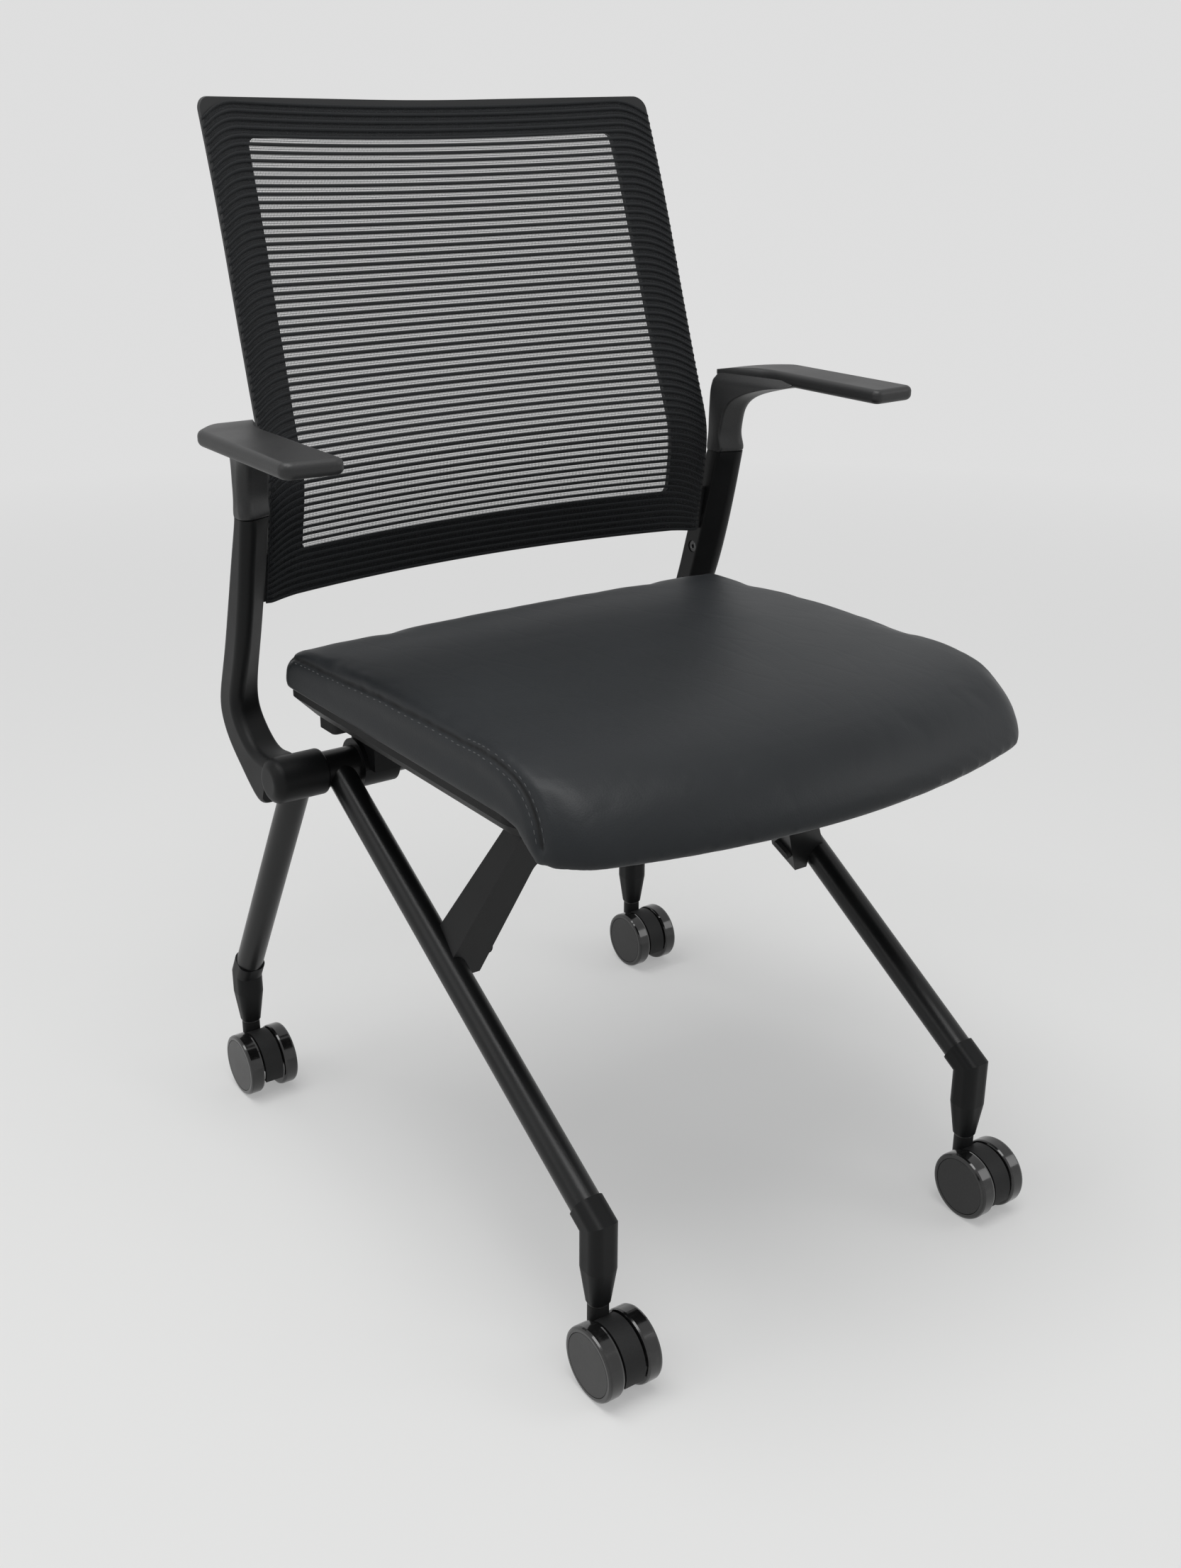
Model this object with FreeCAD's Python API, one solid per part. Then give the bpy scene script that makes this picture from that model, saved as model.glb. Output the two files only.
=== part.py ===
# Nesting chair on four casters: flip-up seat, mesh back, fixed arms.
# Origin on the floor, midway between the front and rear casters; the chair
# faces -Y, +X is the sitter's left, +Z is up. Millimetres.
import FreeCAD, Part
import math
import os

V = FreeCAD.Vector

# Moves every piece so that the origin is midway between the front and rear
centre_shift = -3.3

# Frame tubes
leg_d = 25.4
leg_wall = 1.8
cross_d = 31.8
cross_wall = 2.0
cross_y = 141.5
cross_z = 372.0
cross_half = 256.0
front_leg_x = 197.8
front_stem_y = -252.5
front_knee_z = 133.0
rear_leg_x = 233.3
rear_stem_y = 289.9
rear_knee_z = 117.0

# Plastic feet plugged into the legs
foot_across = 25.8
foot_corner_r = 9.0
foot_tip_across = 18.0
foot_tip_r = 7.0
foot_taper_z = 97.0
foot_sleeve = 19.0
foot_spigot = 26.0
plug_clear = 0.1

# Casters
wheel_d = 60.0
wheel_w = 14.0
wheel_edge_r = 2.2
wheel_web = 4.0
wheel_rim = 7.0
wheel_hub_d = 15.0
wheel_gap = 1.5
cap_d = 51.0
cap_t = 1.6
cap_sink = 0.5
hood_w = 18.0
hood_r = 28.6
hood_t = 3.0
hood_web = 6.0
hood_front_deg = -24.0
hood_rear_deg = 118.0
caster_trail = 21.0
boss_d = 17.0
boss_top_z = 63.6
boss_floor_z = 40.0
axle_d = 6.0
pin_d = 8.0
pin_bottom_z = 44.0
collar_d = 17.0
collar_t = 2.0
socket_pin_d = 11.0
socket_pin_h = 28.0
run_clear = 0.06
rest_clear = 0.3

# Seat support bridging the front legs
support_half = 199.0
support_lean = 0.486
support_in_half = 161.4
support_in_lean = 0.419
support_depth = 32.0
support_top_depth = 21.0
support_t = 2.5
support_rake = 13.7
support_front_y = -51.0
support_front_z = 269.5
support_rise = 111.0
support_under = 77.0
support_outer_r = 18.0
support_inner_r = 14.0
support_foot = 46.0
tab_drop = -3.2
pad_w = 46.0
pad_x = 92.0
bumper_len = 21.0
bumper_w = 9.0
bumper_t = 4.0
bumper_up_leg = 254.0
bumper_below = -5.0

# Uprights and arms
upright_in_x = 235.0
upright_out_x = 262.0
upright_lean = 0.31
edge_in_r = 3.0
edge_out_r = 8.0
seam_z = 593.0
seam_gap = 0.4
sleeve_in_x = 212.0
sleeve_out_x = 262.6
sleeve_d = 40.0
sleeve_out_r = 9.0
sleeve_in_r = 3.5
sleeve_clear = 0.1
leg_slot_clear = 0.6
arm_top_z = 674.3
arm_pad_t = 12.6
arm_pad_in_x = 257.5
arm_pad_out_x = 306.5
arm_pad_front_y = -24.0
arm_pad_rear_y = 179.0
arm_pad_rear_out_y = 134.0
arm_pad_heel_x = 263.0
arm_pad_heel_in_x = 238.0
arm_pad_waist_y = 118.0
arm_fall_y = 128.0
arm_fall_r = 240.0
arm_edge_r = 5.0
tenon_h = 28.0
tenon_w = 14.0
tenon_d = 9.0
screw_d = 6.0
screw_head_d = 11.0
screw_head_t = 3.2
recess_y = 199.5
recess_z = 493.0

# Back
back_bottom_z = 512.5
back_top_z = 911.5
back_top_dip = 4.0
back_bottom_half = 233.0
back_top_half = 223.8
back_sag = 31.0
mesh_t = 1.2
frame_t = 5.0
frame_inset = 1.6
window_bottom_z = 553.0
window_top_z = 878.0
window_bottom_half = 194.8
window_top_half = 182.8
back_corner_r = 11.0
back_foot_r = 5.0
window_r = 7.0
tongue_in_x = 226.0
tongue_out_x = 250.0
tongue_t = 4.0
tongue_bottom_z = 514.0
tongue_top_z = 556.0
tongue_clear = 0.15
back_screw_d = 4.0
back_screw_head_d = 8.0
back_screw_head_t = 2.4
back_screw_x = 242.5
back_screw_z = (524.0, 546.0)

# Seat
seat_half = 234.0
seat_edge_r = 8.0
seat_crown = 8.0
seat_rear_y = 168.0
seat_bulge = 65.0
seat_front_arc = 636.0
seat_corner_r = 34.0
cushion_bottom_z = 446.0
cushion_lip_z = 424.5
pan_half = 228.0
pan_rear_y = 165.5
pan_front_y = -204.0
pan_rim_h = 7.2
pan_floor_z = 424.0
pan_slope = 13.5
pan_t = 3.0
pan_corner_r = 30.0
pan_rear_r = 14.0
board_clear = 0.3
boss_r = 7.0
hinge_x = 164.0
hinge_w = 34.0
hinge_wall = 4.0
liner_t = 2.0
hinge_foot_y = 84.0
hinge_foot_len = 64.0
hinge_foot_w = 52.0
hinge_foot_t = 4.0
strap_split = 0.4
seat_screw_d = 5.0
seat_screw_head_d = 10.0
seat_screw_head_t = 3.0
stop_x = 200.0
stop_y = 120.0
stop_len = 28.0
stop_w = 18.0
stop_h = 14.0

nodes = {}


def add(name, shape):
    nodes[name] = shape.translated(V(0, centre_shift, 0))


def mirrored(shape):
    return shape.mirror(V(0, 0, 0), V(1, 0, 0))


def add_pair(name, shape):
    add(name + "_left", shape)
    add(name + "_right", mirrored(shape))


def rod(start, end, radius):
    along = end - start
    return Part.makeCylinder(radius, along.Length, start, along)


def x_rod(x0, x1, y, z, radius):
    return rod(V(x0, y, z), V(x1, y, z), radius)


def z_rod(x, y, z0, z1, radius):
    return rod(V(x, y, z0), V(x, y, z1), radius)


def block(x0, x1, y0, y1, z0, z1):
    return Part.makeBox(x1 - x0, y1 - y0, z1 - z0, V(x0, y0, z0))


def rounded(points, radii):
    # Closed wire of straight runs joined by tangent arcs, one radius a corner
    count = len(points)
    joints = []
    for i, point in enumerate(points):
        back = (points[i - 1] - point).normalize()
        ahead = (points[(i + 1) % count] - point).normalize()
        half = back.getAngle(ahead) / 2
        reach = radii[i] / math.tan(half)
        middle = (back + ahead).normalize()
        apex = point + middle * (radii[i] / math.sin(half) - radii[i])
        joints.append((point + back * reach, apex, point + ahead * reach))
    edges = []
    for i, (start, apex, end) in enumerate(joints):
        edges.append(Part.Arc(start, apex, end).toShape())
        edges.append(Part.makeLine(end, joints[(i + 1) % count][0]))
    return Part.Wire(edges)


def prism(points, radii, along):
    return Part.Face(rounded(points, radii)).extrude(along)


def loft(wires):
    return Part.makeLoft(wires, True, False)


def fuse_all(shapes):
    body = shapes[0]
    for shape in shapes[1:]:
        body = body.fuse(shape)
    return body.removeSplitter()


def unit(start, end):
    return (end - start).normalize()


# Legs and cross tube

cross_r = cross_d / 2
leg_r = leg_d / 2


def axis_point(x):
    return V(x, cross_y, cross_z)


def leg_ends(x, stem_y, knee_z):
    knee = V(x, stem_y, knee_z)
    up = unit(knee, axis_point(x))
    return knee, up


def leg(x, stem_y, knee_z):
    knee, up = leg_ends(x, stem_y, knee_z)
    start = knee + up * foot_sleeve
    tube = rod(start, axis_point(x), leg_r)
    bore = rod(start, axis_point(x), leg_r - leg_wall)
    saddle = x_rod(x - leg_d, x + leg_d, cross_y, cross_z, cross_r)
    return tube.cut(bore).cut(saddle)


def square_ring(centre, along, across, corner):
    # Rounded square in the plane square to along, with one side along X
    side = V(1, 0, 0) * (across / 2)
    depth = along.cross(V(1, 0, 0)).normalize() * (across / 2)
    points = [centre + side + depth, centre - side + depth]
    points += [centre - side - depth, centre + side - depth]
    return rounded(points, [corner] * 4)


def foot(x, stem_y, knee_z):
    # Sleeve along the leg and shank below it, mitred at the knee
    knee, up = leg_ends(x, stem_y, knee_z)
    z_axis = V(0, 0, 1)
    reach = foot_across
    sleeve_ring = square_ring(knee - up * reach, up, foot_across, foot_corner_r)
    sleeve = Part.Face(sleeve_ring).extrude(up * (reach + foot_sleeve))
    shank_start = V(x, stem_y, foot_taper_z)
    shank_ring = square_ring(shank_start, z_axis, foot_across, foot_corner_r)
    shank = Part.Face(shank_ring).extrude(V(0, 0, knee_z + reach - foot_taper_z))
    mitre = (up + z_axis).normalize()
    half_space = Part.makeBox(80, 80, 80, V(-40, -40, 0))
    half_space.Placement = FreeCAD.Placement(knee, FreeCAD.Rotation(V(0, 0, 1), mitre))
    tip_z = boss_top_z + rest_clear + collar_t
    tip_ring = square_ring(V(x, stem_y, tip_z), z_axis, foot_tip_across, foot_tip_r)
    taper = loft([tip_ring, shank_ring])
    spigot_start = knee + up * (foot_sleeve - 1)
    spigot_r = leg_r - leg_wall - plug_clear
    spigot = rod(spigot_start, knee + up * (foot_sleeve + foot_spigot), spigot_r)
    body = fuse_all([sleeve.common(half_space), shank.cut(half_space), taper, spigot])
    return body.cut(z_rod(x, stem_y, tip_z - 1, tip_z + socket_pin_h, socket_pin_d / 2))


def cross_tube():
    outer = x_rod(-cross_half, cross_half, cross_y, cross_z, cross_r)
    return outer.cut(x_rod(-cross_half, cross_half, cross_y, cross_z, cross_r - cross_wall))


# Casters

wheel_r = wheel_d / 2
wheel_in = hood_w / 2 + wheel_gap


def revolve_x(points, centre):
    # Closed profile of (x, radius) pairs turned about the X axis line
    verts = [centre + V(x, 0, r) for x, r in points]
    wire = Part.makePolygon(verts + [verts[0]])
    return Part.Face(wire).revolve(centre, V(1, 0, 0), 360)


def wheel(side, centre):
    # Rim, web near the outer face and a hub that runs on the axle
    inner = wheel_in
    outer = wheel_in + wheel_w
    rim = wheel_r - wheel_rim
    hub = wheel_hub_d / 2
    bore = axle_d / 2 + run_clear
    edge = wheel_edge_r
    soft = edge * (1 - math.cos(math.pi / 4))
    cap_seat = cap_d / 2 + 0.1
    profile = [(inner, bore), (inner, hub), (outer - wheel_web, hub), (outer - wheel_web, rim)]
    profile += [(inner, rim), (inner, wheel_r - edge), (inner + soft, wheel_r - soft)]
    profile += [(inner + edge, wheel_r), (outer - edge, wheel_r), (outer - soft, wheel_r - soft)]
    profile += [(outer, wheel_r - edge), (outer, cap_seat), (outer - cap_t, cap_seat)]
    profile += [(outer - cap_t, bore)]
    return revolve_x([(side * x, r) for x, r in profile], centre)


def wheel_cap(side, centre):
    outer = wheel_in + wheel_w
    rim = cap_d / 2
    profile = [(outer - cap_t, 0), (outer - cap_t, rim), (outer - cap_sink, rim)]
    profile += [(outer, rim - cap_sink), (outer, 0)]
    return revolve_x([(side * x, r) for x, r in profile], centre)


def arc_point(centre, radius, degrees, x):
    angle = math.radians(degrees)
    return V(x, centre.y - radius * math.cos(angle), centre.z + radius * math.sin(angle))


def hood(x, stem_y, centre):
    # Centre body: a fender band between the wheels, a web and two bosses
    x0 = x - hood_w / 2
    inner_r = hood_r - hood_t
    middle_deg = (hood_front_deg + hood_rear_deg) / 2
    outer = [arc_point(centre, hood_r, a, x0) for a in (hood_front_deg, middle_deg, hood_rear_deg)]
    inner = [arc_point(centre, inner_r, a, x0) for a in (hood_rear_deg, middle_deg, hood_front_deg)]
    edges = [Part.Arc(*outer).toShape(), Part.makeLine(outer[2], inner[0])]
    edges += [Part.Arc(*inner).toShape(), Part.makeLine(inner[2], outer[0])]
    band = Part.Face(Part.Wire(edges)).extrude(V(hood_w, 0, 0))
    web_x = x - hood_web / 2
    low = arc_point(centre, inner_r + 1, hood_front_deg, web_x)
    high = arc_point(centre, inner_r + 1, hood_rear_deg, web_x)
    crest = arc_point(centre, inner_r + 1, middle_deg, web_x)
    rear = V(web_x, stem_y + boss_d / 2 - 1, boss_floor_z)
    keel = V(web_x, centre.y, centre.z - wheel_hub_d / 2)
    web_edges = [Part.Arc(low, crest, high).toShape(), Part.makeLine(high, rear)]
    web_edges += [Part.makeLine(rear, keel), Part.makeLine(keel, low)]
    web = Part.Face(Part.Wire(web_edges)).extrude(V(hood_web, 0, 0))
    hub = x_rod(x0, x0 + hood_w, centre.y, centre.z, wheel_hub_d / 2)
    boss = z_rod(x, stem_y, boss_floor_z, boss_top_z, boss_d / 2)
    body = fuse_all([band, web, hub, boss])
    body = body.cut(z_rod(x, stem_y, pin_bottom_z - 1, boss_top_z + 1, pin_d / 2 + run_clear))
    return body.cut(x_rod(x0 - 1, x0 + hood_w + 1, centre.y, centre.z, axle_d / 2))


def caster_stem(x, stem_y):
    # Pin in the hood's boss, collar above it, socket pin up into the foot
    collar_z = boss_top_z + rest_clear
    pin = z_rod(x, stem_y, pin_bottom_z, collar_z + 1, pin_d / 2)
    collar = z_rod(x, stem_y, collar_z, collar_z + collar_t, collar_d / 2)
    top = z_rod(x, stem_y, collar_z + 1, collar_z + collar_t + socket_pin_h - 1, socket_pin_d / 2)
    return fuse_all([pin, collar, top])


def caster(place, x, stem_y):
    centre = V(x, stem_y - caster_trail, wheel_r)
    half_axle = wheel_in + wheel_w - wheel_web
    add(place + "_caster_stem", caster_stem(x, stem_y))
    add(place + "_caster_hood", hood(x, stem_y, centre))
    add(place + "_caster_axle", x_rod(x - half_axle, x + half_axle, centre.y, centre.z, axle_d / 2))
    for side, label in ((-1, "right"), (1, "left")):
        add(place + "_wheel_" + label, wheel(side, centre))
        add(place + "_wheel_cap_" + label, wheel_cap(side, centre))


# Seat support: a pressed channel bent into a bridge between the front legs

rake = math.radians(support_rake)
support_up = V(0, -math.sin(rake), math.cos(rake))
support_back = V(0, math.cos(rake), math.sin(rake))
support_base = V(0, support_front_y, support_front_z)


def support_point(x, rise, depth):
    return support_base + V(x, 0, 0) + support_up * rise + support_back * depth


def bridge_outline(inset, depth):
    # Bridge with legs that lean in as they rise, drawn in its own plane
    foot_end = -support_foot
    top = support_rise - inset
    under = support_under + inset
    low_out = support_half - inset - support_lean * foot_end
    high_out = support_half - inset - support_lean * top
    low_in = support_in_half + inset - support_in_lean * foot_end
    high_in = support_in_half + inset - support_in_lean * under
    spots = [(-low_out, foot_end), (-high_out, top), (high_out, top), (low_out, foot_end)]
    spots += [(low_in, foot_end), (high_in, under), (-high_in, under), (-low_in, foot_end)]
    radii = [0.5, support_outer_r - inset, support_outer_r - inset, 0.5]
    radii += [0.5, support_inner_r + inset, support_inner_r + inset, 0.5]
    return rounded([support_point(x, s, depth) for x, s in spots], radii)


def seat_support():
    shell = Part.Face(bridge_outline(0, 0)).extrude(support_back * support_depth)
    pocket = Part.Face(bridge_outline(support_t, support_t)).extrude(support_back * support_depth)
    body = shell.cut(pocket)
    # The walls grow shallower toward the crossbar
    behind = support_depth + 30
    wedge = [support_point(-300, 0, support_depth), support_point(-300, support_rise, support_top_depth)]
    wedge += [support_point(-300, support_rise + 30, support_top_depth - 2)]
    wedge += [support_point(-300, support_rise + 30, behind), support_point(-300, 0, behind)]
    body = body.cut(Part.Face(Part.makePolygon(wedge + [wedge[0]])).extrude(V(600, 0, 0)))
    knee, up = leg_ends(front_leg_x, front_stem_y, front_knee_z)
    below = V(0, up.z, -up.y)
    for side in (-1, 1):
        start = V(side * front_leg_x, knee.y, knee.z)
        body = body.cut(rod(start, start + up * 420, leg_r))
        # Outer wall and front plate end on the leg; a tab runs down beside it
        lane = Part.makeBox(4 * leg_r, 420, 60)
        spin = FreeCAD.Rotation(V(1, 0, 0), math.degrees(math.atan2(up.z, up.y)))
        outer_edge = front_leg_x - leg_r
        corner_x = outer_edge if side > 0 else -outer_edge - 4 * leg_r
        lane.Placement = FreeCAD.Placement(V(corner_x, knee.y, knee.z) + below * 60, spin)
        body = body.cut(lane)
        trim = Part.makeBox(160, 420, 60)
        low_corner = V(start.x - 80, knee.y, knee.z) + below * (60 + leg_r + tab_drop)
        trim.Placement = FreeCAD.Placement(low_corner, spin)
        body = body.cut(trim)
    return body


def support_pads():
    # Rubber rests that stand on the bridge and meet the seat pan
    front = support_point(0, support_rise, 1.0)
    rear = support_point(0, support_rise, support_top_depth - 1.0)
    top = pan_floor_z - rest_clear
    pads = []
    for side in (-1, 1):
        x0 = side * pad_x - pad_w / 2
        points = [V(x0, front.y, front.z), V(x0, rear.y, rear.z)]
        points += [V(x0, rear.y + 6, top), V(x0, front.y - 2, top), V(x0, front.y - 6, top - 5)]
        face = Part.Face(Part.makePolygon(points + [points[0]]))
        pads.append(face.extrude(V(pad_w, 0, 0)))
    return Part.makeCompound(pads)


def nesting_bumpers():
    # Rubber strips on the inner walls of the bridge, beside the legs
    knee, up = leg_ends(front_leg_x, front_stem_y, front_knee_z)
    wall_line = (support_up + V(-support_in_lean, 0, 0)).normalize()
    inward = support_back.cross(wall_line).normalize()
    if inward.x > 0:
        inward = inward * -1
    along = (up - inward * up.dot(inward)).normalize()
    across = inward.cross(along).normalize()
    below = V(0, up.z, -up.y)
    spot = V(0, knee.y, knee.z) + up * bumper_up_leg + below * bumper_below
    rise = (spot - support_base).dot(support_up)
    centre = V(support_in_half - support_in_lean * rise, spot.y, spot.z)
    points = [centre + along * (bumper_len / 2) + across * (bumper_w / 2)]
    points.append(centre - along * (bumper_len / 2) + across * (bumper_w / 2))
    points.append(centre - along * (bumper_len / 2) - across * (bumper_w / 2))
    points.append(centre + along * (bumper_len / 2) - across * (bumper_w / 2))
    strip = prism(points, [bumper_w / 2 - 0.2] * 4, inward * bumper_t)
    return Part.makeCompound([strip, mirrored(strip)])


# Uprights: a moulded post with an elbow and a sleeve over the cross tube's end

# Corners of each section as (y, z): inner front, outer front, outer rear, inner rear
upright_stations = [
    ((162.0, 593.0), (149.0, 593.0), (176.5, 593.0), (182.0, 593.0)),
    ((171.5, 562.0), (154.0, 562.0), (186.5, 562.0), (192.0, 562.0)),
    ((180.5, 531.0), (160.5, 531.0), (197.0, 531.0), (202.0, 531.0)),
    ((190.0, 500.0), (168.5, 500.0), (207.5, 500.0), (212.0, 500.0)),
    ((200.0, 469.0), (179.5, 469.0), (219.0, 469.0), (221.0, 469.0)),
    ((208.5, 440.0), (193.5, 441.0), (231.0, 440.0), (231.0, 440.0)),
    ((208.0, 419.0), (201.5, 420.0), (237.0, 412.0), (236.5, 412.0)),
    ((196.0, 404.0), (192.0, 403.0), (225.5, 387.0), (225.0, 387.5)),
    ((178.0, 392.5), (174.0, 392.0), (203.0, 366.5), (202.5, 367.5)),
    ((160.0, 390.5), (156.0, 389.0), (181.5, 350.5), (181.0, 351.5)),
    ((141.5, 390.0), (141.5, 390.0), (158.0, 347.0), (158.0, 347.0)),
]


def upright_ring(station):
    inner_front, outer_front, outer_rear, inner_rear = station
    points = [V(upright_in_x, *inner_front), V(upright_out_x, *outer_front)]
    points += [V(upright_out_x, *outer_rear), V(upright_in_x, *inner_rear)]
    return rounded(points, [edge_in_r, edge_out_r, edge_out_r, edge_in_r])


def upright():
    post = loft([upright_ring(station) for station in upright_stations])
    sleeve = x_rod(sleeve_in_x, sleeve_out_x, cross_y, cross_z, sleeve_d / 2)
    rims = [e for e in sleeve.Edges if e.Closed]
    outer = [e for e in rims if abs(e.CenterOfMass.x - sleeve_out_x) < 0.1]
    sleeve = sleeve.makeFillet(sleeve_out_r, outer)
    inner = [e for e in sleeve.Edges if e.Closed and abs(e.CenterOfMass.x - sleeve_in_x) < 0.1]
    sleeve = sleeve.makeFillet(sleeve_in_r, inner)
    body = post.fuse(sleeve).removeSplitter()
    bore_r = cross_r + sleeve_clear
    body = body.cut(x_rod(sleeve_in_x - 1, cross_half + sleeve_clear, cross_y, cross_z, bore_r))
    knee, up = leg_ends(rear_leg_x, rear_stem_y, rear_knee_z)
    slot_r = leg_r + leg_slot_clear
    slot = rod(knee, axis_point(rear_leg_x), slot_r)
    depth = up.cross(V(1, 0, 0)).normalize() * slot_r
    start = knee + V(sleeve_in_x - rear_leg_x - 1, 0, 0)
    corners = [start + depth, start - depth]
    corners += [corner + (axis_point(rear_leg_x) - knee) for corner in (start - depth, start + depth)]
    lane = Part.Face(Part.makePolygon(corners + [corners[0]])).extrude(V(rear_leg_x - sleeve_in_x + 1, 0, 0))
    body = body.cut(slot).cut(lane)
    body = body.cut(tenon(plug_clear)).cut(tongue(tongue_clear))
    head = x_rod(upright_in_x - 1, upright_in_x + screw_head_t + 1, recess_y, recess_z, screw_head_d / 2 + 0.4)
    shank = x_rod(upright_in_x, upright_in_x + 20, recess_y, recess_z, screw_d / 2)
    body = body.cut(head).cut(shank)
    for z in back_screw_z:
        y = upright_rear_y(z)
        head = rod(V(back_screw_x, y - 3.4, z), V(back_screw_x, y + 20, z), back_screw_head_d / 2 + 0.3)
        shank = rod(V(back_screw_x, y - 3, z), V(back_screw_x, tongue_y(z), z), back_screw_d / 2)
        body = body.cut(head).cut(shank)
    return body


def upright_rear_y(z):
    # Rear face of the upright where the back's screws enter it
    top, bottom = upright_stations[0], upright_stations[3]
    share = (z - bottom[3][1]) / (top[3][1] - bottom[3][1])
    return bottom[3][0] + share * (top[3][0] - bottom[3][0]) - 1.2


def tenon(grow):
    # Key under the arm that follows the lean of the upright
    x = (upright_in_x + upright_out_x) / 2
    half_w = tenon_w / 2 + grow
    half_d = tenon_d / 2 + grow
    z = seam_z + 4
    y = (upright_stations[0][1][0] + upright_stations[0][3][0]) / 2 - 4 * upright_lean
    drop = tenon_h + 4 + grow
    points = [V(x - half_w, y - half_d, z), V(x + half_w, y - half_d, z)]
    points += [V(x + half_w, y + half_d, z), V(x - half_w, y + half_d, z)]
    return Part.Face(Part.makePolygon(points + [points[0]])).extrude(V(0, drop * upright_lean, -drop))


def upright_screw():
    head = x_rod(upright_in_x + 1, upright_in_x + 1 + screw_head_t, recess_y, recess_z, screw_head_d / 2)
    shank = x_rod(upright_in_x + 1, upright_in_x + 20, recess_y, recess_z, screw_d / 2)
    drive = hex_socket(V(upright_in_x + 1, recess_y, recess_z), V(1, 0, 0), 4.0, 2.0)
    return head.fuse(shank).removeSplitter().cut(drive)


def hex_socket(centre, along, across, depth):
    # Hexagonal key recess sunk along the given direction
    side = along.cross(V(0, 0, 1))
    if side.Length < 0.1:
        side = along.cross(V(0, 1, 0))
    side.normalize()
    other = along.cross(side).normalize()
    reach = across / math.sqrt(3)
    points = []
    for i in range(6):
        angle = math.radians(60 * i)
        points.append(centre + side * (reach * math.cos(angle)) + other * (reach * math.sin(angle)))
    return Part.Face(Part.makePolygon(points + [points[0]])).extrude(along * depth)


# Arms: post and pad moulded as one, keyed into the uprights

# Height, then corners as (x, y): inner rear, inner front, outer front, outer rear
arm_stations = [
    (593.4, (234.5, 182.0), (234.5, 162.5), (262.0, 150.5), (262.0, 176.5)),
    (606.0, (234.5, 181.5), (234.3, 162.0), (262.0, 152.5), (262.0, 176.5)),
    (620.0, (234.5, 181.0), (234.2, 160.5), (262.0, 153.0), (262.0, 176.0)),
    (632.0, (234.5, 181.0), (234.8, 157.5), (262.6, 150.0), (262.0, 175.5)),
    (641.0, (234.5, 181.0), (236.5, 152.0), (265.0, 144.0), (262.0, 175.0)),
    (648.0, (234.5, 181.0), (239.5, 142.0), (270.0, 134.0), (262.5, 174.5)),
    (653.5, (234.7, 180.5), (243.5, 128.0), (278.0, 119.0), (264.0, 173.5)),
    (658.0, (235.3, 180.0), (248.5, 111.0), (287.0, 102.0), (268.0, 171.0)),
    (662.0, (236.5, 179.0), (255.0, 90.0), (295.0, 84.0), (276.0, 165.0)),
    (667.0, (239.0, 177.0), (261.0, 88.0), (295.0, 86.0), (282.0, 160.0)),
]


def arm():
    rings = []
    for z, *corners in arm_stations:
        points = [V(x, y, z) for x, y in corners]
        rings.append(rounded(points, [edge_in_r, edge_in_r, edge_out_r, edge_out_r]))
    post = loft(rings)
    low = arm_top_z - arm_pad_t
    points = [V(arm_pad_in_x, arm_pad_front_y, low), V(arm_pad_out_x, arm_pad_front_y + 3, low)]
    points += [V(arm_pad_out_x - 2, arm_pad_rear_out_y, low), V(arm_pad_heel_x, arm_pad_rear_y, low)]
    points += [V(arm_pad_heel_in_x, arm_pad_rear_y - 1, low), V(arm_pad_in_x, arm_pad_waist_y, low)]
    pad = prism(points, [7.0, 9.0, 18.0, 9.0, 5.0, 60.0], V(0, 0, arm_pad_t))
    pad = pad.makeFillet(arm_edge_r, long_rims(pad, low) + long_rims(pad, arm_top_z))
    # The top falls away in a long arc over the post
    fall_z = arm_top_z - arm_fall_r
    keep = x_rod(arm_pad_heel_in_x - 20, arm_pad_out_x + 20, arm_fall_y, fall_z, arm_fall_r)
    keep = keep.fuse(block(200, 340, arm_pad_front_y - 20, arm_fall_y, low - 5, arm_top_z))
    return fuse_all([post, pad.common(keep), tenon(0)])


def long_rims(shape, z):
    return [e for e in shape.Edges if all(abs(v.Z - z) < 0.01 for v in e.Vertexes)]


# Back: a moulded ring with mesh stretched over its face


# Side profile as (y, z): leans forward to the lumbar bend, then back
back_profile = [
    (189.4, 496.0), (187.3, 508.0), (183.4, 530.0), (177.6, 562.0), (173.8, 583.0),
    (171.8, 602.0), (172.2, 617.0), (175.5, 632.0), (181.9, 650.0), (196.7, 694.0),
    (213.1, 745.5), (228.5, 795.0), (242.8, 838.0), (257.0, 876.5), (270.5, 911.0), (276.3, 925.0),
]


def side_y(z):
    for (y0, z0), (y1, z1) in zip(back_profile, back_profile[1:]):
        if z <= z1:
            return y0 + (y1 - y0) * (z - z0) / (z1 - z0)
    return back_profile[-1][0]


def curved_slab(front, thickness):
    # Slab bent two ways: an arc in plan at each height, lofted up the profile
    reach = back_bottom_half + 12
    sag = back_sag * (reach / back_bottom_half) ** 2
    rings = []
    for y, z in back_profile:
        slope = math.atan((side_y(z + 8) - side_y(z - 8)) / 16) if 504 < z < 916 else 0.36
        start = y - (sag - back_sag) + front / math.cos(slope)
        end = start + thickness / math.cos(slope)
        near = [V(-reach, start, z), V(0, start + sag, z), V(reach, start, z)]
        far = [V(reach, end, z), V(0, end + sag, z), V(-reach, end, z)]
        edges = [Part.Arc(*near).toShape(), Part.makeLine(near[2], far[0])]
        edges += [Part.Arc(*far).toShape(), Part.makeLine(far[2], near[0])]
        rings.append(Part.Wire(edges))
    return loft(rings)


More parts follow.
